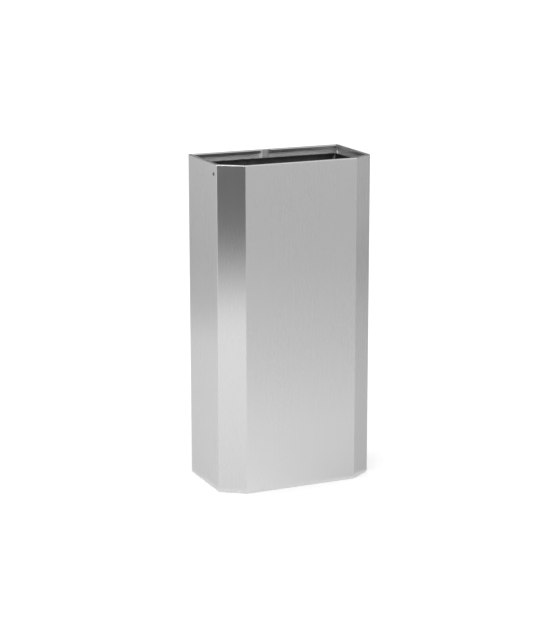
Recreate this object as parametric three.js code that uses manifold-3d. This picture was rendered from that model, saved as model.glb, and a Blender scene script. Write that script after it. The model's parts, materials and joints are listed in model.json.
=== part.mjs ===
// Open litter bin of satin stainless sheet, free-standing or hung on a wall.
//
// Units are millimetres. +Z is up, +X is the bin's right seen from the front, the front faces -Y and
// the flat back faces +Y. The origin is on the floor, in the middle of the bin's footprint.
//
// The body is one sheet bent round a six-sided outline. Every sheet, ring and liner follows that
// outline, set inwards by some distance, so outlines are made by one function, inset().

import * as THREE from 'three';
import { mergeVertices } from 'three/addons/utils/BufferGeometryUtils.js';
import Module from 'manifold-3d';

const wasm = await Module();
wasm.setup();

// ---- Driving dimensions ----

const WIDTH = 300;
const DEPTH = 165;
const HEIGHT = 600;
const CHAMFER_X = 42;         // how much a front corner takes off the width
const CHAMFER_Y = 30;         // and off the depth
const SHEET = 1;              // thickness of the stainless sheet
const BEND_R = 2;             // outside radius of the vertical bends
const GAP = 0.3;              // clearance between pieces that touch or are welded
const CUT = 1;                // how far a cutter runs past the face it cuts
const BEND_STEPS = 5;         // flats that stand for a bend, fold or domed head
const ROUND_SIDES = 24;       // flats round a pin, washer or hole

const RIM_WIDTH = 6.5;        // the rim's flange, folded inwards and then down
const RIM_LIP = 6.5;
const RIM_FOLD_R = 1.7;       // outside radius of the flange's two folds
const NOTCH_WIDTH = 20;       // the flange is cut away here, in the middle of the back
const MITRE_WIDTH = 0.4;      // slit between two stretches of flange at each corner
const SEAM_X = -6;            // where the sheet's two ends meet in the back, inside the cut flange
const SEAM_WIDTH = 0.4;       // groove that stands for the seam
const SEAM_DEPTH = 0.3;

const FLANGE = 22;            // upturned edge of the base pan

const PIVOT_Y = -38;          // the hinge axis runs along X, nearer the front
const PIVOT_Z = 581.5;
const PIN_R = 2;
const PIN_HEAD_R = 3.2;
const PIN_HEAD_H = 0.8;
const PIN_TIP = 0.9;          // how far the pin passes its retainer
const PIN_PLAY = 0.1;         // extra radius of the holes that turn on the pins

const RING_OUT = 8;           // inset of the ring's outer face from the body's outer face
const RING_BAR = 2;           // flat bar, thickness and height
const RING_HEIGHT = 12;
const RING_TOP = 584.5;
const RING_BEND_R = 6;
const EAR_R = 6;

const SPACER_R = 4.5;
const RETAINER_R = 5;
const RETAINER_THICK = 0.8;

const BRACKET_X = 75;         // one rest bracket each side of the middle
const BRACKET_WIDTH = 16;
const BRACKET_HEIGHT = 18;
const BRACKET_REACH = 9.5;
const BRACKET_THICK = 1.2;

const BAG_FILM = 0.3;
const BAG_INSET = 13;         // clear of the ring, its pins and the rest brackets
const BAG_R = 8;
const BAG_FLOOR_Z = 1.6;

const HOLE_X = 100;           // wall-hanging holes in the back
const KEYHOLE_Z = 520;
const KEYHOLE_R = 5;
const KEYHOLE_SLOT_W = 5;
const KEYHOLE_SLOT_H = 9;
const SCREW_HOLE_Z = 80;
const SCREW_HOLE_R = 2.75;

// ---- Materials ----

const satinSteel = { color: 0xc4c4c4, roughness: 0.38, metalness: 1 };
const plainSteel = { color: 0xb2b2b2, roughness: 0.45, metalness: 1 };
const pinSteel = { color: 0x6f6f6f, roughness: 0.5, metalness: 1 };
const nylon = { color: 0xe4e2dc, roughness: 0.6, metalness: 0 };
const blackFilm = { color: 0x101011, roughness: 0.42, metalness: 0 };

// ---- Solids ----

function solid(geometry) {
  const bare = geometry.clone();
  bare.deleteAttribute('normal');
  bare.deleteAttribute('uv');
  const merged = mergeVertices(bare);
  return new wasm.Manifold(new wasm.Mesh({
    numProp: 3,
    vertProperties: new Float32Array(merged.attributes.position.array),
    triVerts: new Uint32Array(merged.index.array),
  }));
}

function geometryOf(body) {
  const mesh = body.getMesh();
  const geometry = new THREE.BufferGeometry();
  geometry.setAttribute('position', new THREE.BufferAttribute(new Float32Array(mesh.vertProperties), 3));
  geometry.setIndex(new THREE.BufferAttribute(new Uint32Array(mesh.triVerts), 1));
  geometry.computeVertexNormals();
  return geometry;
}

function box(x0, x1, y0, y1, z0, z1) {
  const geometry = new THREE.BoxGeometry(x1 - x0, y1 - y0, z1 - z0);
  return geometry.translate((x0 + x1) / 2, (y0 + y1) / 2, (z0 + z1) / 2);
}

// A cylinder whose axis runs along X, between two X values.
function barAlongX(radius, x0, x1, y, z) {
  const geometry = new THREE.CylinderGeometry(radius, radius, Math.abs(x1 - x0), ROUND_SIDES);
  return geometry.rotateZ(Math.PI / 2).translate((x0 + x1) / 2, y, z);
}

// A cylinder whose axis runs along Y, long enough to pass through the back wall.
function drillBack(radius, x, z) {
  const geometry = new THREE.CylinderGeometry(radius, radius, 2 * (SHEET + CUT), ROUND_SIDES);
  return geometry.translate(x, DEPTH / 2, z);
}

// ---- The body's outline, set inwards ----

const CORNERS = [
  [-WIDTH / 2, -DEPTH / 2 + CHAMFER_Y],
  [-WIDTH / 2 + CHAMFER_X, -DEPTH / 2],
  [WIDTH / 2 - CHAMFER_X, -DEPTH / 2],
  [WIDTH / 2, -DEPTH / 2 + CHAMFER_Y],
  [WIDTH / 2, DEPTH / 2],
  [-WIDTH / 2, DEPTH / 2],
].map(([x, y]) => new THREE.Vector2(x, y));

// The corner where the two faces beside corner i meet once both are moved inwards by a distance.
function insetCorner(i, distance) {
  const before = CORNERS[(i + CORNERS.length - 1) % CORNERS.length];
  const here = CORNERS[i];
  const after = CORNERS[(i + 1) % CORNERS.length];
  const inDir = here.clone().sub(before).normalize();
  const outDir = after.clone().sub(here).normalize();
  const inNormal = new THREE.Vector2(-inDir.y, inDir.x);
  const outNormal = new THREE.Vector2(-outDir.y, outDir.x);
  const reach = distance / (1 + inNormal.dot(outNormal));
  const point = here.clone().addScaledVector(inNormal.add(outNormal), reach);
  return { point, inDir, outDir };
}

// The outline moved inwards, as a list of points. A radius of 0 leaves sharp corners.
function inset(distance, radius = 0) {
  const points = [];
  CORNERS.forEach((_, i) => {
    const { point, inDir, outDir } = insetCorner(i, distance);
    if (radius === 0) {
      points.push(point);
      return;
    }
    const turn = Math.acos(inDir.dot(outDir));
    const back = radius * Math.tan(turn / 2);
    const start = point.clone().addScaledVector(inDir, -back);
    const centre = start.clone().add(new THREE.Vector2(-inDir.y, inDir.x).multiplyScalar(radius));
    for (let s = 0; s <= BEND_STEPS; s++) {
      points.push(start.clone().rotateAround(centre, (turn * s) / BEND_STEPS));
    }
  });
  return points;
}

function prism(points, z0, z1, hole) {
  const shape = new THREE.Shape(points);
  if (hole) shape.holes.push(new THREE.Path(hole));
  const geometry = new THREE.ExtrudeGeometry(shape, { depth: z1 - z0, bevelEnabled: false });
  return geometry.translate(0, 0, z0);
}

// ---- Body ----

// A slab along the whole rim with both upper edges rounded. The flange is cut out of it.
function rimBlank() {
  const shape = new THREE.Shape(inset(RIM_FOLD_R, BEND_R - RIM_FOLD_R));
  shape.holes.push(new THREE.Path(inset(RIM_WIDTH - RIM_FOLD_R)));
  const height = RIM_LIP - RIM_FOLD_R;
  const geometry = new THREE.ExtrudeGeometry(shape, {
    depth: height,
    bevelThickness: RIM_FOLD_R,
    bevelSize: RIM_FOLD_R,
    bevelSegments: BEND_STEPS,
  });
  return geometry.translate(0, 0, HEIGHT - RIM_LIP);
}

// The slit at corner i runs through the flange, along the line that halves the corner.
function mitreSlit(i) {
  const start = insetCorner(i, RIM_FOLD_R).point;
  const end = insetCorner(i, RIM_WIDTH + CUT).point;
  const along = end.clone().sub(start);
  const slit = new THREE.BoxGeometry(along.length(), MITRE_WIDTH, RIM_LIP + 2 * CUT);
  const middle = start.add(end).divideScalar(2);
  return slit.rotateZ(along.angle()).translate(middle.x, middle.y, HEIGHT - RIM_LIP / 2);
}

function bodyWrap() {
  const back = DEPTH / 2;
  const inside = inset(SHEET, BEND_R - SHEET);
  const wall = prism(inset(0, BEND_R), 0, HEIGHT - RIM_FOLD_R, inside);
  const belowRim = box(-WIDTH, WIDTH, -DEPTH, DEPTH, HEIGHT - 2 * RIM_LIP, HEIGHT - RIM_LIP);
  const underFlange = prism(
    inside, HEIGHT - RIM_LIP - CUT, HEIGHT - SHEET, inset(RIM_WIDTH - SHEET),
  );
  const rim = solid(rimBlank()).subtract(solid(belowRim)).subtract(solid(underFlange));
  let body = solid(wall).add(rim);

  const notch = box(
    -NOTCH_WIDTH / 2, NOTCH_WIDTH / 2, back - RIM_WIDTH - CUT, back - SHEET,
    HEIGHT - RIM_LIP - CUT, HEIGHT + CUT,
  );
  const seamLeft = SEAM_X - SEAM_WIDTH / 2;
  const seamRight = SEAM_X + SEAM_WIDTH / 2;
  const seamOutside = box(seamLeft, seamRight, back - SEAM_DEPTH, back + CUT, -CUT, HEIGHT + CUT);
  const seamInside = box(
    seamLeft, seamRight, back - SHEET - CUT, back - SHEET + SEAM_DEPTH, -CUT, HEIGHT + CUT,
  );
  [notch, seamOutside, seamInside].forEach((cutter) => { body = body.subtract(solid(cutter)); });
  CORNERS.forEach((_, i) => { body = body.subtract(solid(mitreSlit(i))); });

  [-1, 1].forEach((side) => {
    const pinHole = barAlongX(
      PIN_R + PIN_PLAY, side * (WIDTH / 2 - SHEET - CUT), side * (WIDTH / 2 + CUT), PIVOT_Y, PIVOT_Z,
    );
    const slot = box(
      side * HOLE_X - KEYHOLE_SLOT_W / 2, side * HOLE_X + KEYHOLE_SLOT_W / 2,
      back - SHEET - CUT, back + CUT, KEYHOLE_Z, KEYHOLE_Z + KEYHOLE_SLOT_H,
    );
    const slotEnd = drillBack(KEYHOLE_SLOT_W / 2, side * HOLE_X, KEYHOLE_Z + KEYHOLE_SLOT_H);
    const keyhole = drillBack(KEYHOLE_R, side * HOLE_X, KEYHOLE_Z);
    const screwHole = drillBack(SCREW_HOLE_R, side * HOLE_X, SCREW_HOLE_Z);
    [pinHole, slot, slotEnd, keyhole, screwHole].forEach((cutter) => {
      body = body.subtract(solid(cutter));
    });
  });
  return geometryOf(body);
}

// A tray with upturned flanges, its underside level with the body's lower edge.
function basePan() {
  const outside = SHEET + GAP;
  const tray = prism(inset(outside, BEND_R - SHEET), 0, FLANGE);
  const hollow = prism(inset(outside + SHEET), SHEET, FLANGE + CUT);
  return geometryOf(solid(tray).subtract(solid(hollow)));
}

// ---- Bag ring and its hinge ----

// Flat bar bent to the outline, with a round ear at each pin.
function bagRing() {
  const bottom = RING_TOP - RING_HEIGHT;
  const inner = RING_OUT + RING_BAR;
  let ring = solid(prism(
    inset(RING_OUT, RING_BEND_R), bottom, RING_TOP, inset(inner, RING_BEND_R - RING_BAR),
  ));
  [-1, 1].forEach((side) => {
    const outerX = side * (WIDTH / 2 - RING_OUT);
    const innerX = side * (WIDTH / 2 - inner);
    const hole = barAlongX(PIN_R + PIN_PLAY, outerX + side * CUT, innerX - side * CUT, PIVOT_Y, PIVOT_Z);
    ring = ring.add(solid(barAlongX(EAR_R, outerX, innerX, PIVOT_Y, PIVOT_Z))).subtract(solid(hole));
  });
  return geometryOf(ring);
}

// A washer on the hinge axis, between two insets from the side's outer face.
function washer(side, radius, from, to) {
  const disc = barAlongX(radius, side * (WIDTH / 2 - from), side * (WIDTH / 2 - to), PIVOT_Y, PIVOT_Z);
  const hole = barAlongX(
    PIN_R + PIN_PLAY, side * (WIDTH / 2 - from + CUT), side * (WIDTH / 2 - to - CUT), PIVOT_Y, PIVOT_Z,
  );
  return geometryOf(solid(disc).subtract(solid(hole)));
}

// The pin is turned about its own axis: a low domed head outside and a plain shank inwards.
function pivotPin(side) {
  const length = RING_OUT + RING_BAR + GAP + RETAINER_THICK + PIN_TIP;
  const profile = [new THREE.Vector2(0, -length), new THREE.Vector2(PIN_R, -length)];
  profile.push(new THREE.Vector2(PIN_R, GAP), new THREE.Vector2(PIN_HEAD_R, GAP));
  for (let s = 1; s <= BEND_STEPS; s++) {
    const angle = (Math.PI / 2) * (s / BEND_STEPS);
    profile.push(new THREE.Vector2(PIN_HEAD_R * Math.cos(angle), GAP + PIN_HEAD_H * Math.sin(angle)));
  }
  profile[profile.length - 1].x = 0;
  const geometry = new THREE.LatheGeometry(profile, ROUND_SIDES).rotateZ((-side * Math.PI) / 2);
  return geometry.translate((side * WIDTH) / 2, PIVOT_Y, PIVOT_Z);
}

// An angle on the back wall. Its top leg lies just under the ring.
function restBracket(side) {
  const wallY = DEPTH / 2 - SHEET - GAP;
  const top = RING_TOP - RING_HEIGHT - GAP;
  const x0 = side * BRACKET_X - BRACKET_WIDTH / 2;
  const x1 = side * BRACKET_X + BRACKET_WIDTH / 2;
  const leg = box(x0, x1, wallY - BRACKET_THICK, wallY, top - BRACKET_HEIGHT, top);
  const shelf = box(x0, x1, wallY - BRACKET_REACH, wallY, top - BRACKET_THICK, top);
  return geometryOf(solid(leg).add(solid(shelf)));
}

// ---- Bag ----

// The liner hangs inside the ring and reaches the base pan.
function bag() {
  const skin = prism(inset(BAG_INSET, BAG_R), BAG_FLOOR_Z, RING_TOP);
  const space = prism(inset(BAG_INSET + BAG_FILM, BAG_R - BAG_FILM), BAG_FLOOR_Z + BAG_FILM, RING_TOP + CUT);
  return geometryOf(solid(skin).subtract(solid(space)));
}

// ---- Assembly ----

const bin = new THREE.Group();

function piece(name, geometry, finish) {
  const mesh = new THREE.Mesh(geometry, new THREE.MeshStandardMaterial(finish));
  mesh.name = name;
  bin.add(mesh);
}

piece('body_wrap', bodyWrap(), satinSteel);
piece('base_pan', basePan(), plainSteel);
piece('bag_ring', bagRing(), plainSteel);
piece('bag', bag(), blackFilm);
[['left', -1], ['right', 1]].forEach(([name, side]) => {
  const ringFace = RING_OUT + RING_BAR + GAP;
  piece(`pivot_pin_${name}`, pivotPin(side), pinSteel);
  piece(`pivot_spacer_${name}`, washer(side, SPACER_R, SHEET + GAP, RING_OUT - GAP), nylon);
  piece(`pivot_retainer_${name}`, washer(side, RETAINER_R, ringFace, ringFace + RETAINER_THICK), pinSteel);
  piece(`rest_bracket_${name}`, restBracket(side), plainSteel);
});

export default bin;
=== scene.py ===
"""Looks of an open litter bin: satin stainless body, black film bag folded over a hinged ring.

Everything is in metres, in the frame of the CAD model: +Z up, the chamfered front towards -Y.
Left and right are as the camera sees them. Angles are in radians, except where a name or a comment
says degrees.
"""

import json
import math
import random

import bmesh
import bpy
import numpy as np
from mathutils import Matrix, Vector, noise


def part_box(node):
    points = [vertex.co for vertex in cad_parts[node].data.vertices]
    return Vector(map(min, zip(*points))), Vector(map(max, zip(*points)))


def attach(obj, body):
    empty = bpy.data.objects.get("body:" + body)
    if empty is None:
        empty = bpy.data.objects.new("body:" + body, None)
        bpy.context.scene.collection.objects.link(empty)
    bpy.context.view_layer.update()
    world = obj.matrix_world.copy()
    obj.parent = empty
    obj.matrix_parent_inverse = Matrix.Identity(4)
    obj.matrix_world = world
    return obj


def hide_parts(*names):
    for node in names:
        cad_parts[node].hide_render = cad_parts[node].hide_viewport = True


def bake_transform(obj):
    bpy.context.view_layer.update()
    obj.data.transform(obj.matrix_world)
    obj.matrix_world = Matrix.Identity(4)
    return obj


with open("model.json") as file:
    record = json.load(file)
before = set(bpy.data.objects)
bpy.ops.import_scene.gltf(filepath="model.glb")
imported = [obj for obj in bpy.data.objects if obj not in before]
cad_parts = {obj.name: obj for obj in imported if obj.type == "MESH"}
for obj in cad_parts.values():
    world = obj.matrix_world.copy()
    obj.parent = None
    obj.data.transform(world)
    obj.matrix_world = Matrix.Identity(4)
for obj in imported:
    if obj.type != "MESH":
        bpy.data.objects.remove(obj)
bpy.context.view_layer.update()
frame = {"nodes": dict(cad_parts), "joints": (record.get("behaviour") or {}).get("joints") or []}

MM = 0.001

# ---- Sizes taken from the frame ----

BODY_LOW, BODY_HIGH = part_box("body_wrap")
WIDTH, DEPTH, HEIGHT = BODY_HIGH - BODY_LOW
RING_LOW, RING_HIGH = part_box("bag_ring")
BAG_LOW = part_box("bag")[0]
PIVOT = Vector(frame["joints"][0]["pos_m"])

# ---- Sizes of the sheet work, as the body was designed ----

CHAMFER_X, CHAMFER_Y = 42 * MM, 30 * MM
SHEET = 1 * MM
BEND_R = 2 * MM
INNER_BEND_R = 2.2 * MM
EDGE_R = 0.15 * MM            # broken edge of the cut sheet
RIM_WIDTH, RIM_LIP, RIM_FOLD_R = 6.5 * MM, 6.5 * MM, 1.7 * MM
NOTCH_WIDTH = 20 * MM         # gap in the flange at the middle of the back
MITRE_HALF_WIDTH = 0.2 * MM   # slit of the flange at each corner

SEAM_X = -6 * MM              # weld of the sheet's two ends
SEAM_DIP = 0.12 * MM          # hollow that grinding leaves along the seam outside
BEAD_HALF_WIDTH = 2 * MM
BEAD_HEIGHT = 0.45 * MM       # of the weld bead inside
BEAD_RIPPLE = 0.15            # share of its height by which the bead ripples
BEAD_RIPPLE_LENGTH = 0.5 * MM     # along the bead, for one radian of the ripple
BEAD_STEPS = 4                # columns from the crest of the bead to its edge

HOLE_X = 100 * MM             # wall holes, on each side of the middle
KEYHOLE_Z, KEYHOLE_R = 520 * MM, 5 * MM
SLOT_WIDTH, SLOT_HEIGHT = 5 * MM, 9 * MM
SCREW_HOLE_Z, SCREW_HOLE_R = 80 * MM, 2.75 * MM

CORNERS = [
    Vector((-WIDTH / 2, -DEPTH / 2 + CHAMFER_Y)),
    Vector((-WIDTH / 2 + CHAMFER_X, -DEPTH / 2)),
    Vector((WIDTH / 2 - CHAMFER_X, -DEPTH / 2)),
    Vector((WIDTH / 2, -DEPTH / 2 + CHAMFER_Y)),
    Vector((WIDTH / 2, DEPTH / 2)),
    Vector((-WIDTH / 2, DEPTH / 2)),
]
BACK_EDGE = 4                 # the stretch from corner 4 to corner 5

# ---- Fineness of the meshes ----

ROUND_STEPS = 8               # along a bend, a fold or the round end of a slot
UNDER_FOLD_STEPS = 5          # along the inside of a fold
HOLE_STEPS = 24
BODY_STEP = 14 * MM           # between columns of the body's flats
OUTER_WALL_ROWS, INNER_WALL_ROWS = 26, 20


# ---- The body's outline, set inwards ----

def inset_corner(i, distance):
    """Where the faces beside corner i meet once both move inwards, and the directions of both."""
    into = (CORNERS[i] - CORNERS[i - 1]).normalized()
    out = (CORNERS[(i + 1) % len(CORNERS)] - CORNERS[i]).normalized()
    sum_of_normals = Vector((-into.y - out.y, into.x + out.x))
    reach = distance / (1 + into.dot(out))
    return CORNERS[i] + sum_of_normals * reach, into, out


def corner_point(i, distance, radius, share):
    """A point on the round of corner i, from 0 at its start to 1 at its end."""
    sharp, into, out = inset_corner(i, distance)
    turn = math.acos(max(-1.0, min(1.0, into.dot(out))))
    start = sharp - into * radius * math.tan(turn / 2)
    centre = start + Vector((-into.y, into.x)) * radius
    angle = turn * share
    arm = start - centre
    return centre + Vector((arm.x * math.cos(angle) - arm.y * math.sin(angle),
                            arm.x * math.sin(angle) + arm.y * math.cos(angle)))


def outline_point(column, distance, radius):
    """A column is (corner, None, share) on a round, or (corner, share, None) on the flat after it."""
    i, along, around = column
    if along is None:
        return corner_point(i, distance, radius, around)
    start = corner_point(i, distance, radius, 1)
    end = corner_point((i + 1) % len(CORNERS), distance, radius, 0)
    return start.lerp(end, along)


def outline_columns(flat_step, back_shares=()):
    """Columns all round the outline. back_shares adds places along the flat of the back."""
    columns = []
    for i, corner in enumerate(CORNERS):
        columns += [(i, None, s / ROUND_STEPS) for s in range(ROUND_STEPS + 1)]
        length = (CORNERS[(i + 1) % len(CORNERS)] - corner).length
        count = max(2, round(length / flat_step))
        shares = {s / count for s in range(1, count)}
        if i == BACK_EDGE:
            shares |= set(back_shares)
        columns += [(i, s, None) for s in sorted(shares)]
    return columns


# ---- Mesh helpers ----

SHARP_FROM = math.radians(35)


def add_object(name, vertices, faces, smooth=True):
    """A mesh object in the scene."""
    mesh = bpy.data.meshes.new(name)
    mesh.from_pydata([tuple(v) for v in vertices], [], faces)
    mesh.update()
    mesh.polygons.foreach_set("use_smooth", [smooth] * len(mesh.polygons))
    made = bpy.data.objects.new(name, mesh)
    bpy.context.scene.collection.objects.link(made)
    return made


def loop_faces(rows, columns, closed_rows):
    """Quads of a grid whose columns close on themselves, and whose rows do too if asked."""
    last = rows if closed_rows else rows - 1
    return [
        (r * columns + c, r * columns + (c + 1) % columns,
         ((r + 1) % rows) * columns + (c + 1) % columns, ((r + 1) % rows) * columns + c)
        for r in range(last) for c in range(columns)
    ]


def sharpen(obj):
    """Keeps the steep edges sharp and shades flat faces evenly."""
    obj.data.set_sharp_from_angle(angle=SHARP_FROM)
    weighted = obj.modifiers.new("weighted_normals", "WEIGHTED_NORMAL")
    weighted.keep_sharp = True


def face_out(obj):
    """Turns every face outwards."""
    bm = bmesh.new()
    bm.from_mesh(obj.data)
    bmesh.ops.recalc_face_normals(bm, faces=bm.faces)
    bm.to_mesh(obj.data)
    bm.free()


def through_back(point, depth):
    """A place in the sheet of the back, from a point (x, z)."""
    return (point[0], depth, point[1])


def upright(point, height):
    """A place at some height, from a point (x, y)."""
    return (point[0], point[1], height)


def prism_along(points, depth_from, depth_to, place):
    """Vertices and faces of an outline pushed from one depth to another. place makes a 3-D point."""
    n = len(points)
    vertices = [place(p, depth_from) for p in points] + [place(p, depth_to) for p in points]
    faces = [(k, (k + 1) % n, n + (k + 1) % n, n + k) for k in range(n)]
    return vertices, faces + [tuple(reversed(range(n))), tuple(range(n, 2 * n))]


def merged(parts):
    """The vertices and faces of several parts as one."""
    vertices, faces = [], []
    for part_vertices, part_faces in parts:
        faces += [tuple(k + len(vertices) for k in face) for face in part_faces]
        vertices += part_vertices
    return vertices, faces


# ---- Materials ----

NOISE_LOW, NOISE_HIGH = 0.3, 0.7     # nearly all values of a noise texture lie between these
ROUGHNESS_SPREAD = 0.08       # share by which the roughness of steel strays


def new_material(name, base, roughness, metallic=0.0, **sockets):
    """A plain material, with its nodes, links and shader. sockets name further shader inputs."""
    material = bpy.data.materials.new(name)
    material.use_nodes = True
    shader = material.node_tree.nodes["Principled BSDF"]
    shader.inputs["Base Color"].default_value = (*base, 1)
    shader.inputs["Roughness"].default_value = roughness
    shader.inputs["Metallic"].default_value = metallic
    for socket, value in sockets.items():
        shader.inputs[socket.replace("_", " ")].default_value = value
    return material, material.node_tree.nodes, material.node_tree.links, shader


def stretched_noise(nodes, links, scale, detail, roughness=0.6):
    """Noise on the object's own coordinates, stretched along one axis by unequal scales, per metre."""
    place = nodes.new("ShaderNodeTexCoord")
    stretch = nodes.new("ShaderNodeMapping")
    stretch.inputs["Scale"].default_value = scale
    links.new(place.outputs["Object"], stretch.inputs["Vector"])
    texture = nodes.new("ShaderNodeTexNoise")
    texture.inputs["Scale"].default_value = 1.0
    texture.inputs["Detail"].default_value = detail
    texture.inputs["Roughness"].default_value = roughness
    links.new(stretch.outputs["Vector"], texture.inputs["Vector"])
    return texture.outputs["Fac"]


def remap(nodes, links, value, low, high):
    """A noise value spread over the range from low to high."""
    mapped = nodes.new("ShaderNodeMapRange")
    mapped.inputs["From Min"].default_value = NOISE_LOW
    mapped.inputs["From Max"].default_value = NOISE_HIGH
    mapped.inputs["To Min"].default_value = low
    mapped.inputs["To Max"].default_value = high
    links.new(value, mapped.inputs["Value"])
    return mapped.outputs["Result"]


def mix_value(nodes, links, first, second, operation="ADD"):
    """Two values joined by a maths node. Each is a socket or a number."""
    math_node = nodes.new("ShaderNodeMath")
    math_node.operation = operation
    for socket, value in zip(math_node.inputs, (first, second)):
        if isinstance(value, float):
            socket.default_value = value
        else:
            links.new(value, socket)
    return math_node.outputs[0]


def colour_ramp(nodes, links, value, low, high):
    """A colour between low and high, picked by a noise value."""
    ramp = nodes.new("ShaderNodeValToRGB")
    ramp.color_ramp.elements[0].position = NOISE_LOW
    ramp.color_ramp.elements[1].position = NOISE_HIGH
    ramp.color_ramp.elements[0].color = (*low, 1)
    ramp.color_ramp.elements[1].color = (*high, 1)
    links.new(value, ramp.inputs["Fac"])
    return ramp.outputs["Color"]


def bump(nodes, links, shader, height, strength, distance):
    """Relief made from a height value. distance is what a height of 1 stands for."""
    node = nodes.new("ShaderNodeBump")
    node.inputs["Strength"].default_value = strength
    node.inputs["Distance"].default_value = distance
    links.new(height, node.inputs["Height"])
    links.new(node.outputs["Normal"], shader.inputs["Normal"])


def brushed_steel(name, grain, tone, roughness, anisotropy, spread, relief=0.004, metallic=1.0):
    """Ground sheet. grain is the way the scratches run: "up" or "round" the outline.

    spread is the share by which the tone strays. relief is in millimetres.
    """
    material, nodes, links, shader = new_material(
        name, (tone, tone, tone), roughness, metallic, Anisotropic=anisotropy,
    )
    # Noise scales per metre: high across the scratches and low along them.
    fine = (2600, 2600, 22) if grain == "up" else (60, 60, 2600)
    broad = (300, 300, 2) if grain == "up" else (7, 7, 420)
    scratches = stretched_noise(nodes, links, fine, detail=3.0)
    bands = stretched_noise(nodes, links, broad, detail=5.0, roughness=0.7)
    clouds = stretched_noise(nodes, links, (9, 9, 5), detail=3.0)
    mixed = mix_value(nodes, links, scratches, bands)
    mixed = mix_value(nodes, links, mixed, clouds)
    average = mix_value(nodes, links, mixed, 1 / 3, "MULTIPLY")
    low, high = tone * (1 - spread), tone * (1 + spread)
    colour = colour_ramp(nodes, links, average, (low,) * 3, (high,) * 3)
    links.new(colour, shader.inputs["Base Color"])
    smoothest, roughest = roughness * (1 - ROUGHNESS_SPREAD), roughness * (1 + ROUGHNESS_SPREAD)
    links.new(remap(nodes, links, average, smoothest, roughest), shader.inputs["Roughness"])
    tangent = nodes.new("ShaderNodeTangent")
    tangent.direction_type = "RADIAL"
    tangent.axis = "Z"
    links.new(tangent.outputs["Tangent"], shader.inputs["Tangent"])
    if grain == "round":
        quarter_turn = 0.25
        shader.inputs["Anisotropic Rotation"].default_value = quarter_turn
    faint_scratches = mix_value(nodes, links, scratches, 0.12, "MULTIPLY")
    height = mix_value(nodes, links, bands, faint_scratches)
    bump(nodes, links, shader, height, strength=1.0, distance=relief * MM)
    return material


def black_film():
    """Thin crumpled plastic film with a soft sheen."""
    material, nodes, links, shader = new_material(
        "black_film", (0.013, 0.013, 0.014), roughness=0.32, Specular_IOR_Level=0.5,
    )
    crumple = stretched_noise(nodes, links, (60, 60, 34), detail=6.0, roughness=0.62)
    creases = stretched_noise(nodes, links, (240, 240, 90), detail=4.0)
    faint_creases = mix_value(nodes, links, creases, 0.25, "MULTIPLY")
    height = mix_value(nodes, links, crumple, faint_creases)
    links.new(remap(nodes, links, creases, 0.26, 0.42), shader.inputs["Roughness"])
    colour = colour_ramp(nodes, links, crumple, (0.009,) * 3, (0.018,) * 3)
    links.new(colour, shader.inputs["Base Color"])
    bump(nodes, links, shader, height, strength=0.55, distance=1.2 * MM)
    return material


def moulded_nylon():
    """Natural nylon, as moulded."""
    material, nodes, links, shader = new_material("nylon", (0.72, 0.70, 0.64), roughness=0.5)
    grain = stretched_noise(nodes, links, (900, 900, 900), detail=3.0)
    links.new(remap(nodes, links, grain, 0.42, 0.6), shader.inputs["Roughness"])
    colour = colour_ramp(nodes, links, grain, (0.68, 0.66, 0.6), (0.76, 0.74, 0.68))
    links.new(colour, shader.inputs["Base Color"])
    bump(nodes, links, shader, grain, strength=0.2, distance=0.05 * MM)
    return material


SATIN = brushed_steel(
    "satin_steel", "up", tone=0.66, roughness=0.28, anisotropy=0.9, spread=0.022, relief=0.0022,
)
LIP_STEEL = brushed_steel(
    "lip_steel", "up", tone=0.6, roughness=0.32, anisotropy=0.72, spread=0.02, relief=0.001,
)
MILL = brushed_steel(
    "mill_steel", "round", tone=0.86, roughness=0.66, anisotropy=0.7, spread=0.4, relief=0.01,
)
# A lighter, less metallic copy of the mill finish for the inner bends and the weld bead: partly their
# own polish, partly a painted highlight along them.
BEND_HIGHLIGHT_STEEL = brushed_steel(
    "bend_and_bead_highlight_steel", "round", tone=0.95, roughness=0.6, anisotropy=0.6, spread=0.04, metallic=0.7,
)
# A darker copy of the mill finish for the inner wall behind the notch in the flange: its darkness is
# painted shade.
NOTCH_SHADE_STEEL = brushed_steel(
    "notch_painted_shade_steel", "round", tone=0.66, roughness=0.66, anisotropy=0.7, spread=0.3, relief=0.01,
)
RING_STEEL = brushed_steel(
    "ring_steel", "round", tone=0.55, roughness=0.4, anisotropy=0.4, spread=0.06,
)
PIN_STEEL = brushed_steel(
    "pin_steel", "round", tone=0.13, roughness=0.45, anisotropy=0.2, spread=0.1,
)
FILM = black_film()
NYLON = moulded_nylon()
BODY_FINISHES = (SATIN, MILL, BEND_HIGHLIGHT_STEEL, LIP_STEEL, NOTCH_SHADE_STEEL)


def paint(obj, *materials):
    """Gives an object these materials and no others."""
    obj.data.materials.clear()
    for material in materials:
        obj.data.materials.append(material)


# ---- Body ----

NOTCH_CLEARANCE = 0.02 * MM   # a cutter's face that lay in the sheet's face would lend it its finish
OVERSHOOT = 1 * MM            # how far cutters reach past what they cut


def arc(centre, radius, from_degrees, to_degrees, steps):
    """Points of (inset, height) on a round. 180 degrees points to the outside, 90 up, 0 inwards."""
    span = to_degrees - from_degrees
    turns = [math.radians(from_degrees + span * s / steps) for s in range(steps + 1)]
    return [(centre[0] + radius * math.cos(t), centre[1] + radius * math.sin(t)) for t in turns]


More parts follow.
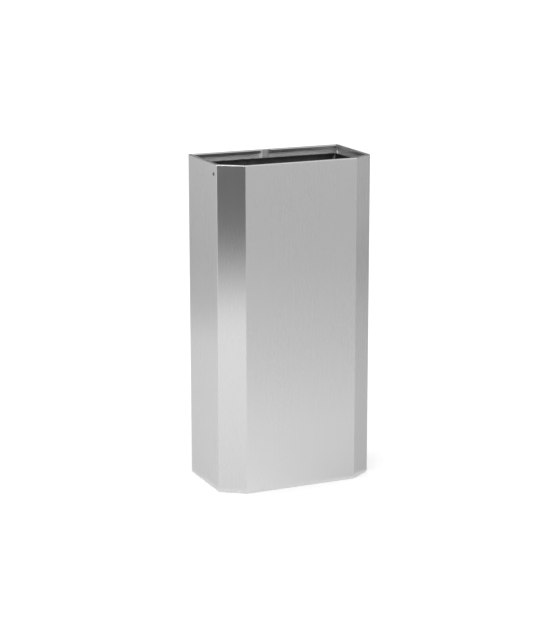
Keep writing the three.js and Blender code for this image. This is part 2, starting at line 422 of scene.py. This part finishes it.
def body_section():
    """The sheet's closed section as (inset, height, which face of the sheet it is on)."""
    fold_z = HEIGHT - RIM_FOLD_R
    lip_z = HEIGHT - RIM_LIP
    under_r = RIM_FOLD_R - SHEET
    outer_fold, lip_fold = (RIM_FOLD_R, fold_z), (RIM_WIDTH - RIM_FOLD_R, fold_z)
    wall_z = 4 * MM               # the lowest of the evenly spaced rows of the walls
    rows = [(EDGE_R, 0.0), (0.0, EDGE_R)]
    rows += [(0.0, z) for z in np.linspace(wall_z, fold_z - 2 * MM, OUTER_WALL_ROWS)]
    rows += arc(outer_fold, RIM_FOLD_R, 180, 90, ROUND_STEPS)
    outer_rows = len(rows)
    rows += arc(lip_fold, RIM_FOLD_R, 90, 0, ROUND_STEPS)
    rows += [(RIM_WIDTH, lip_z + 2 * MM), (RIM_WIDTH, lip_z + EDGE_R), (RIM_WIDTH - EDGE_R, lip_z)]
    front_rows = len(rows)
    rows += [(RIM_WIDTH - SHEET + EDGE_R, lip_z), (RIM_WIDTH - SHEET, lip_z + EDGE_R)]
    rows += arc(lip_fold, under_r, 0, 90, UNDER_FOLD_STEPS)
    rows += arc(outer_fold, under_r, 90, 180, UNDER_FOLD_STEPS)
    rows += [(SHEET, z) for z in np.linspace(fold_z - 4 * MM, wall_z, INNER_WALL_ROWS)]
    rows += [(SHEET, EDGE_R), (SHEET - EDGE_R, 0.0)]
    sides = ["outer"] * outer_rows + ["lip"] * (front_rows - outer_rows)
    sides += ["back"] * (len(rows) - front_rows)
    return [(inset, z, side) for (inset, z), side in zip(rows, sides)]


def keyhole_outline(x):
    """A round hole with a narrower slot above it, as points (x, z)."""
    half = SLOT_WIDTH / 2
    opening = math.asin(half / KEYHOLE_R)
    points = []
    for s in range(HOLE_STEPS + 1):
        turn = math.pi / 2 + opening + (2 * math.pi - 2 * opening) * s / HOLE_STEPS
        points.append((x + KEYHOLE_R * math.cos(turn), KEYHOLE_Z + KEYHOLE_R * math.sin(turn)))
    for s in range(ROUND_STEPS + 1):
        turn = math.pi * s / ROUND_STEPS
        points.append((x + half * math.cos(turn), KEYHOLE_Z + SLOT_HEIGHT + half * math.sin(turn)))
    return points


def screw_hole_outline(x):
    """A plain round hole, as points (x, z)."""
    turns = [2 * math.pi * s / HOLE_STEPS for s in range(HOLE_STEPS)]
    return [(x + SCREW_HOLE_R * math.cos(t), SCREW_HOLE_Z + SCREW_HOLE_R * math.sin(t)) for t in turns]


def body_cutter():
    """Everything that is cut out of the body: flange notch, corner mitres and the holes in the back."""
    back = DEPTH / 2
    below, above = HEIGHT - RIM_LIP - OVERSHOOT, HEIGHT + OVERSHOOT
    half = NOTCH_WIDTH / 2
    notch = [(-half, below), (half, below), (half, above), (-half, above)]
    notch_end = back - SHEET - NOTCH_CLEARANCE
    parts = [prism_along(notch, back - RIM_WIDTH - OVERSHOOT, notch_end, through_back)]
    for x in (-HOLE_X, HOLE_X):
        for outline in (keyhole_outline(x), screw_hole_outline(x)):
            parts.append(prism_along(outline, back - SHEET - OVERSHOOT, back + OVERSHOOT, through_back))
    for i in range(len(CORNERS)):
        start = inset_corner(i, RIM_FOLD_R)[0]
        end = inset_corner(i, RIM_WIDTH + OVERSHOOT)[0]
        side = (end - start).orthogonal().normalized() * MITRE_HALF_WIDTH
        slit = [start + side, start - side, end - side, end + side]
        parts.append(prism_along(slit, below, above, upright))
    cutter = add_object("cutter", *merged(parts), smooth=False)
    face_out(cutter)
    return cutter


def back_share(x):
    """Where a place across the back is along its flat, which runs from the right bend to the left."""
    return 0.5 - x / (WIDTH - 2 * BEND_R)


def seam_height(column):
    """Height of the weld bead, from 0 at its edges to 1 along its crest."""
    i, along, _ = column
    if i != BACK_EDGE or along is None:
        return 0.0
    away = abs(along - back_share(SEAM_X)) * (WIDTH - 2 * BEND_R) / BEAD_HALF_WIDTH
    return math.cos(away * math.pi / 2) if away < 1 else 0.0


def finish_of(side, column):
    """The material that the body has on one side of its sheet, just after a column: its finish, or a
    copy of it with painted shade or a painted highlight.
    """
    i, along, around = column
    if side == "outer":
        return SATIN
    if side == "lip":
        return LIP_STEEL
    # The inner bends and the weld bead take the lighter copy, which is partly a painted highlight.
    if along is None:
        return BEND_HIGHLIGHT_STEEL if around < 1 else MILL
    if seam_height(column) > 0:
        return BEND_HIGHLIGHT_STEEL
    rounding = 1e-6
    # Behind the notch the inner wall takes the darker copy, which is painted shade.
    in_notch = back_share(NOTCH_WIDTH / 2) <= along + rounding < back_share(-NOTCH_WIDTH / 2)
    return NOTCH_SHADE_STEEL if i == BACK_EDGE and in_notch else MILL


def make_body():
    """The bent sheet: its section swept along the outline, then cut."""
    places = [SEAM_X + BEAD_HALF_WIDTH * s / BEAD_STEPS for s in range(-BEAD_STEPS, BEAD_STEPS + 1)]
    places += [-NOTCH_WIDTH / 2, NOTCH_WIDTH / 2]
    columns = outline_columns(BODY_STEP, [back_share(x) for x in places])
    section = body_section()
    vertices = []
    for inset, z, side in section:
        if side == "back":
            relief = BEAD_HEIGHT * (1 + BEAD_RIPPLE * math.sin(z / BEAD_RIPPLE_LENGTH))
            radius = INNER_BEND_R
        else:
            relief = SEAM_DIP
            radius = max(BEND_R - inset, EDGE_R)
        for column in columns:
            point = outline_point(column, inset + seam_height(column) * relief, radius)
            vertices.append((point.x, point.y, z))
    body = add_object("body_shell", vertices, loop_faces(len(section), len(columns), True))
    paint(body, *BODY_FINISHES)
    for face in body.data.polygons:
        side = section[face.index // len(columns)][2]
        finish = finish_of(side, columns[face.index % len(columns)])
        face.material_index = BODY_FINISHES.index(finish)
    face_out(body)
    cutter = body_cutter()
    cut = body.modifiers.new("cut", "BOOLEAN")
    cut.object = cutter
    cut.operation = "DIFFERENCE"
    cut.solver = "EXACT"
    paint(cutter, MILL)
    with bpy.context.temp_override(object=body, active_object=body):
        bpy.ops.object.modifier_apply(modifier="cut")
    bpy.data.objects.remove(cutter)
    sharpen(body)
    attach(body, "bin")
    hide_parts("body_wrap")


# ---- Bag ----

RING_OUT = 8 * MM             # insets of the ring's outer and inner face
RING_IN = 10 * MM
RING_MIDDLE = (RING_OUT + RING_IN) / 2
RING_TOP = RING_HIGH.z - 3 * MM   # the ears at the pins stand above the bar
FILM_THICKNESS = 0.12 * MM
FILM_GAP = 0.35 * MM          # from the middle of the film to the ring
CUFF_DROPS = (10, 8, 6, 4, 2, 0.4)    # millimetres from the ring's top to rows of the folded-over cuff
NECK_START = 1 * MM           # below the ring's top
NECK = 36 * MM                # height over which the film comes in from the ring
NECK_STEP = 1.25 * MM
HANG_INSET = 17.5 * MM        # how far in the sack hangs, clear of the brackets as the ring swings
HANG_ROWS = 84
SACK_ROUND = 26 * MM          # round between the sack's walls and its bottom
PIN_TIP_INSET = 13.2 * MM     # the film passes inside the tips of the pins
PIN_LIFT = 3.3 * MM           # of the cuff, over the ears at the pins
FILM_STEP = 4.2 * MM          # between columns
BOTTOM_STEPS = 40
FLOOR_Z = BAG_LOW.z + 0.4 * MM
PLEATS = 52
PLEAT_SEED = 7
GATHER_CIRCLE = 13            # radius in noise units of the circle that the gathers are read along
CRUMPLES, RIPPLES = 34, 120   # noise units per metre of the walls
LUMPS, CREASES = 40, 130      # noise units per metre of the bottom
BULGE_LIMIT = 2 * MM          # outwards, of the hanging sack


def smoothstep(x):
    """0 below 0, 1 above 1 and a smooth rise between."""
    x = min(1.0, max(0.0, x))
    return x * x * (3 - 2 * x)


def make_pleats(length):
    """Long soft folds: (place along the outline, width, depth, drift along the height)."""
    rng = random.Random(PLEAT_SEED)
    return [
        (rng.uniform(0, length), rng.uniform(4, 15) * MM, rng.uniform(0.8, 4.4) * MM,
         rng.uniform(-30, 30) * MM)
        for _ in range(PLEATS)
    ]


def film_rows():
    """Rows of (inset, height, zone) from the cuff's edge, over the ring and down to the bottom."""
    rows = [(RING_OUT - FILM_GAP, RING_TOP - drop * MM, "cuff") for drop in CUFF_DROPS]
    flattened, lift = 0.35, 0.25 * MM
    over_bar = (RING_IN - RING_OUT) / 2 + FILM_GAP
    for inset, rise in arc((RING_MIDDLE, 0), over_bar, 180, 0, ROUND_STEPS):
        rows.append((inset, RING_TOP + lift + flattened * rise, "cuff"))
    neck_end = NECK + 4 * MM
    for drop in np.arange(NECK_START, neck_end, NECK_STEP):
        share = smoothstep((drop - NECK_START) / NECK)
        inset = RING_IN + FILM_GAP + (HANG_INSET - RING_IN - FILM_GAP) * share
        rows.append((inset, RING_TOP - float(drop), "neck"))
    for z in np.linspace(RING_TOP - neck_end, FLOOR_Z + SACK_ROUND, HANG_ROWS):
        rows.append((HANG_INSET, float(z), "hang"))
    for s in range(1, ROUND_STEPS + 1):
        turn = math.pi / 2 * s / ROUND_STEPS
        rows.append((HANG_INSET + SACK_ROUND * (1 - math.cos(turn)),
                     FLOOR_Z + SACK_ROUND * (1 - math.sin(turn)), "turn"))
    return rows


def crumple_at(where, per_metre):
    """Lumpy noise of both signs at a place."""
    increment, lacunarity, octaves = 0.7, 2.1, 4
    return noise.fractal(where * per_metre, increment, lacunarity, octaves)


def nearness_to_pin(spot):
    """1 where a spot on the ring is beside a pin, falling to 0 about 12 mm away."""
    if abs(spot.x) <= WIDTH / 2 - 15 * MM:
        return 0.0
    beside, fade = 3.15 * MM, 9 * MM
    return 1 - smoothstep((abs(spot.y - PIVOT.y) - beside) / fade)


def cuff_place(inset, z, near_pin, gather):
    """Inset and height of the cuff, which is shorter and higher at the pins and fuller in a gather."""
    shorter, fuller = 0.88 * near_pin, 1.6 * gather
    hem = min(0.0, z - RING_TOP) * (1 - shorter)
    fold = max(0.0, z - RING_TOP) * (1 + fuller)
    bulge = 0.45 * MM * gather if inset < RING_OUT else 0.0
    return inset - bulge, RING_TOP + near_pin * PIN_LIFT + hem + fold


def neck_place(inset, z, near_pin, gather):
    """Inset and height of the neck, which clears the pins and starts the gathers."""
    lift, lift_fades_over = 3 * MM, 9 * MM
    fold, fold_grows_over = 2.4 * MM, 14 * MM
    below = RING_TOP - z
    rise = near_pin * lift * (1 - smoothstep(below / lift_fades_over))
    inward = fold * gather * smoothstep(below / fold_grows_over)
    return max(inset, PIN_TIP_INSET * near_pin) + inward, z + rise


def film_radius(inset):
    """Radius of the film's outline at its corners. It is tight at the ring and rounder below."""
    outside, tight, slack, slack_over = 6 * MM, 4 * MM, 8 * MM, 3 * MM
    if inset < RING_OUT:
        return outside + RING_OUT - inset
    return tight + (slack - tight) * smoothstep((inset - RING_IN) / slack_over)


def pleat_push(place, below, pleats, total):
    """How far the pleats push the film in at a place along the outline, this far below the ring."""
    push = 0.0
    for centre, width, depth, drift in pleats:
        away = place - centre - drift * below / HEIGHT
        away = (away + total / 2) % total - total / 2
        push += depth * math.exp(-(away / width) ** 2)
    return push


def sack_bottom(rim):
    """Rings of vertices from the rim of the sack's bottom inwards, lying in lumps and creases."""
    vertices = []
    for s in range(1, BOTTOM_STEPS + 1):
        shrink = 1 - s / (BOTTOM_STEPS + 0.5)
        for x, y, z in rim:
            x, y = x * shrink, y * shrink
            lump = crumple_at(Vector((x, y, 3.0)), LUMPS)
            crease = noise.noise(Vector((x, y, 7.0)) * CREASES)
            low = FLOOR_Z + max(0.0, 1.5 + 5 * lump + 1.2 * crease) * MM
            from_rim = shrink ** 14
            vertices.append((x, y, low + (z - low) * from_rim))
    return vertices


def make_bag():
    """The film: a cuff folded over the ring, a neck, a pleated sack and its bottom."""
    columns = outline_columns(FILM_STEP)
    ring_line = [outline_point(c, RING_MIDDLE, 5 * MM) for c in columns]
    lengths = np.cumsum([0] + [(b - a).length for a, b in zip(ring_line, ring_line[1:])])
    total = float(lengths[-1] + (ring_line[0] - ring_line[-1]).length)
    pleats = make_pleats(total)
    rows = film_rows()
    vertices = []
    for inset, z, zone in rows:
        below = RING_TOP - z
        for k, column in enumerate(columns):
            place = float(lengths[k])
            around = 2 * math.pi * place / total
            path = Vector((GATHER_CIRCLE * math.cos(around), GATHER_CIRCLE * math.sin(around), 3))
            gather = max(0.0, noise.noise(path))
            near_pin = nearness_to_pin(ring_line[k])
            depth, height = inset, z
            if zone == "cuff":
                depth, height = cuff_place(inset, z, near_pin, gather)
            elif zone == "neck":
                depth, height = neck_place(inset, z, near_pin, gather)
            point = outline_point(column, depth, film_radius(depth))
            where = Vector((point.x, point.y, height))
            crumple = crumple_at(where, CRUMPLES)
            ripple = noise.noise(where * RIPPLES)
            # Pleats start 6 mm below the ring's top and grow over 90 mm. Crumples grow sooner.
            move = pleat_push(place, below, pleats, total) * smoothstep((below - 6 * MM) / (90 * MM))
            move += (1.6 * crumple + 0.3 * ripple) * MM * smoothstep((below - 3 * MM) / (28 * MM))
            if zone in ("hang", "turn"):
                move = max(move, -BULGE_LIMIT)
            if zone == "turn":
                height += abs(ripple) * 1.5 * MM + max(0.0, crumple) * 4 * MM
            spot = point - ring_line[k].normalized() * move
            vertices.append((spot.x, spot.y, height))
    vertices += sack_bottom(vertices[-len(columns):])
    count = len(rows) + BOTTOM_STEPS
    faces = loop_faces(count, len(columns), False)
    faces.append(tuple(range((count - 1) * len(columns), count * len(columns))))
    bag = add_object("bag_film", vertices, faces)
    face_out(bag)
    paint(bag, FILM)
    skin = bag.modifiers.new("film", "SOLIDIFY")
    skin.thickness = FILM_THICKNESS
    skin.offset = 0.0
    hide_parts("bag")
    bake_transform(bag)


# ---- CAD pieces that keep their shape ----

JOIN_WITHIN = 0.001 * MM
BEVEL_FROM = math.radians(40)


def finish_cad(name, material, bevel):
    """Gives a CAD piece its material and breaks its edges."""
    obj = frame["nodes"][name]
    paint(obj, material)
    # The CAD's triangles share no corners, so a bevel finds no edges until they are joined.
    join = obj.modifiers.new("joined_corners", "WELD")
    join.merge_threshold = JOIN_WITHIN
    obj.data.polygons.foreach_set("use_smooth", [True] * len(obj.data.polygons))
    edge = obj.modifiers.new("broken_edges", "BEVEL")
    edge.width = bevel
    edge.segments = 2
    edge.limit_method = "ANGLE"
    edge.angle_limit = BEVEL_FROM
    edge.use_clamp_overlap = True
    sharpen(obj)


# ---- Stage ----

CAMERA_YAW = math.radians(24.22)      # turned to the right of +Y
CAMERA_PITCH = math.radians(13.56)    # downwards
CAMERA_PLACE = (-1.4304, -3.1684, 1.1335)
CAMERA_LENS, CAMERA_SENSOR = 109.6, 36    # millimetres

FLOOR_REACH = 40.0
SWEEP_REACH = 1.0             # how far out the graded backdrops turn from floor to wall
SWEEP_ROWS, SWEEP_COLUMNS = 70, 15

# Cards: light, heading in degrees, distance and the heights of the lower and upper edge.
RIM_LIGHT, RIM_HEADING, RIM_DISTANCE = 0.13, 65.7, 1.0
RIM_EDGES = (0.56, 1.6)
CORNER_LIGHT, CORNER_HEADING, CORNER_DISTANCE = 18.0, -162, 1.5
CORNER_EDGES = (0.25, 0.85)   # above the rim

SOFTBOX_SIZE = (1.6, 1.2)
SOFTBOX_POWER = 5
SOFTBOX_PLACE = (-1.2, -0.9, 2.2)
SOFTBOX_AIM = Vector((0, 0, 0.3))


def floor():
    """A white floor that fades into the white surroundings."""
    material, nodes, links, shader = new_material(
        "floor_white", (0.93, 0.93, 0.93), roughness=0.8,
    )
    shader.inputs["Emission Color"].default_value = (1, 1, 1, 1)
    shader.inputs["Emission Strength"].default_value = 0.2
    tone = stretched_noise(nodes, links, (1.5, 1.5, 1.5), detail=2.0)
    colour = colour_ramp(nodes, links, tone, (0.92,) * 3, (0.94,) * 3)
    links.new(colour, shader.inputs["Base Color"])
    signs = ((-1, -1), (1, -1), (1, 1), (-1, 1))
    plane = add_object("floor", [(x * FLOOR_REACH, y * FLOOR_REACH, 0) for x, y in signs],
                       [(0, 1, 2, 3)], smooth=False)
    paint(plane, material)


def glow_sheet(name, rows):
    """A smooth sheet seen only in reflections. rows hold (point, light) pairs."""
    across = len(rows[0])
    faces = [
        (r * across + c, r * across + c + 1, (r + 1) * across + c + 1, (r + 1) * across + c)
        for r in range(len(rows) - 1) for c in range(across - 1)
    ]
    sheet = add_object(name, [point for row in rows for point, _ in row], faces)
    glow = sheet.data.color_attributes.new("glow", "FLOAT_COLOR", "POINT")
    for entry, light in zip(glow.data, [light for row in rows for _, light in row]):
        entry.color = (light, light, light, 1)
    material = bpy.data.materials.new(name)
    material.use_nodes = True
    nodes, links = material.node_tree.nodes, material.node_tree.links
    nodes.clear()
    tone = nodes.new("ShaderNodeVertexColor")
    tone.layer_name = "glow"
    emission = nodes.new("ShaderNodeEmission")
    out = nodes.new("ShaderNodeOutputMaterial")
    links.new(tone.outputs["Color"], emission.inputs["Color"])
    links.new(emission.outputs["Emission"], out.inputs["Surface"])
    paint(sheet, material)
    for ray in ("camera", "diffuse", "transmission", "volume_scatter", "shadow"):
        setattr(sheet, "visible_" + ray, False)


def graded_sweep(name, corner, heading, spread, stops, fall=0.0):
    """The backdrop that one face of the body mirrors: along the floor, then up into a wall.

    The face runs from the corner before to this corner. heading is where it mirrors the camera's
    line of sight and spread is how far the sweep fans out to each side of it, both in degrees. stops
    are (height on the face, light mirrored at that height), and fall is how much of the light is
    lost from one end of the sweep to the other.
    """
    a, b = CORNERS[corner - 1], CORNERS[corner]
    slope = math.tan(CAMERA_PITCH)
    rows = []
    for height in np.linspace(4 * MM, stops[-1][0], SWEEP_ROWS):
        light = float(np.interp(height, [h for h, _ in stops], [level for _, level in stops]))
        run = min(height / slope, SWEEP_REACH)
        rise = max(height - SWEEP_REACH * slope, 1 * MM)
        row = []
        for share in np.linspace(0, 1, SWEEP_COLUMNS):
            turn = math.radians(heading + (2 * share - 1) * spread)
            foot = a.lerp(b, share)
            here = light * (1 - fall * (share - 0.5))
            row.append(((foot.x + run * math.cos(turn), foot.y + run * math.sin(turn), rise), here))
        rows.append(row)
    glow_sheet(name, rows)


def card(name, centre, heading, turns, distance, edges, light):
    """An upright card bent round a centre, between two heights above it.

    It reaches from the first to the last of the turns beside its heading, all in degrees.
    """
    angles = [math.radians(heading + turn) for turn in turns]
    feet = [Vector((distance * math.cos(angle), distance * math.sin(angle), 0)) for angle in angles]
    rows = [[(centre + foot + Vector((0, 0, rise)), light) for foot in feet] for rise in edges]
    glow_sheet(name, rows)


def cards():
    """The tone that the level flange mirrors, and a line of light down the inner bend behind."""
    card("rim_card", Vector((0, 0, 0)), RIM_HEADING, range(-70, 71, 5), RIM_DISTANCE, RIM_EDGES,
         RIM_LIGHT)
    bend = Vector((WIDTH / 2, DEPTH / 2, HEIGHT))
    card("corner_card", bend, CORNER_HEADING, (-4, -2, 0, 2, 4), CORNER_DISTANCE, CORNER_EDGES,
         CORNER_LIGHT)


def lighting():
    """White surroundings and one soft lamp at the front left, above."""
    world = bpy.data.worlds.new("studio")
    world.use_nodes = True
    world.node_tree.nodes["Background"].inputs["Color"].default_value = (1, 1, 1, 1)
    world.node_tree.nodes["Background"].inputs["Strength"].default_value = 1.0
    bpy.context.scene.world = world
    lamp = bpy.data.lights.new("softbox", "AREA")
    lamp.shape = "RECTANGLE"
    lamp.size, lamp.size_y = SOFTBOX_SIZE
    lamp.energy = SOFTBOX_POWER
    softbox = bpy.data.objects.new("softbox", lamp)
    softbox.location = SOFTBOX_PLACE
    softbox.rotation_euler = (SOFTBOX_AIM - softbox.location).to_track_quat("-Z", "Y").to_euler()
    bpy.context.scene.collection.objects.link(softbox)
    bpy.context.scene.view_settings.view_transform = "Standard"


def camera():
    """Seen from the front left, a little above."""
    data = bpy.data.cameras.new("camera")
    data.sensor_width = CAMERA_SENSOR
    data.lens = CAMERA_LENS
    made = bpy.data.objects.new("camera", data)
    made.location = CAMERA_PLACE
    level = math.cos(CAMERA_PITCH)
    forward = Vector((
        math.sin(CAMERA_YAW) * level, math.cos(CAMERA_YAW) * level, -math.sin(CAMERA_PITCH),
    ))
    made.rotation_euler = forward.to_track_quat("-Z", "Y").to_euler()
    bpy.context.scene.collection.objects.link(made)
    bpy.context.scene.camera = made


def backdrops():
    """One graded sweep for each face of the body that the camera sees."""
    graded_sweep(
        "sweep_left", corner=0, heading=114.2, spread=22,
        stops=[(0, 0.88), (0.26, 0.87), (0.29, 0.76), (0.34, 0.61), (0.45, 0.52), (0.8, 0.67)],
    )
    graded_sweep(
        "sweep_left_chamfer", corner=1, heading=-136.8, spread=35,
        stops=[(0, 0.97), (0.1, 1.02), (0.34, 1.12), (0.37, 0.86), (0.46, 0.44), (0.52, 0.12),
               (0.8, 0.03)],
    )
    graded_sweep(
        "sweep_front", corner=2, heading=-65.8, spread=30, fall=0.3,
        stops=[(0, 0.93), (0.1, 0.92), (0.25, 0.77), (0.35, 0.71), (0.46, 0.65), (0.8, 0.67)],
    )
    graded_sweep(
        "sweep_right_chamfer", corner=3, heading=5.3, spread=28,
        stops=[(0, 0.67), (0.14, 0.68), (0.3, 0.6), (0.45, 0.45), (0.54, 0.52), (0.8, 0.57)],
    )


# ---- The whole scene ----

camera()
lighting()
floor()
backdrops()
cards()

make_body()
make_bag()
finish_cad("base_pan", MILL, bevel=0.2 * MM)
finish_cad("bag_ring", RING_STEEL, bevel=0.25 * MM)
for side in ("left", "right"):
    finish_cad("pivot_pin_" + side, PIN_STEEL, bevel=0.08 * MM)
    finish_cad("pivot_spacer_" + side, NYLON, bevel=0.2 * MM)
    finish_cad("pivot_retainer_" + side, PIN_STEEL, bevel=0.1 * MM)
    finish_cad("rest_bracket_" + side, MILL, bevel=0.2 * MM)
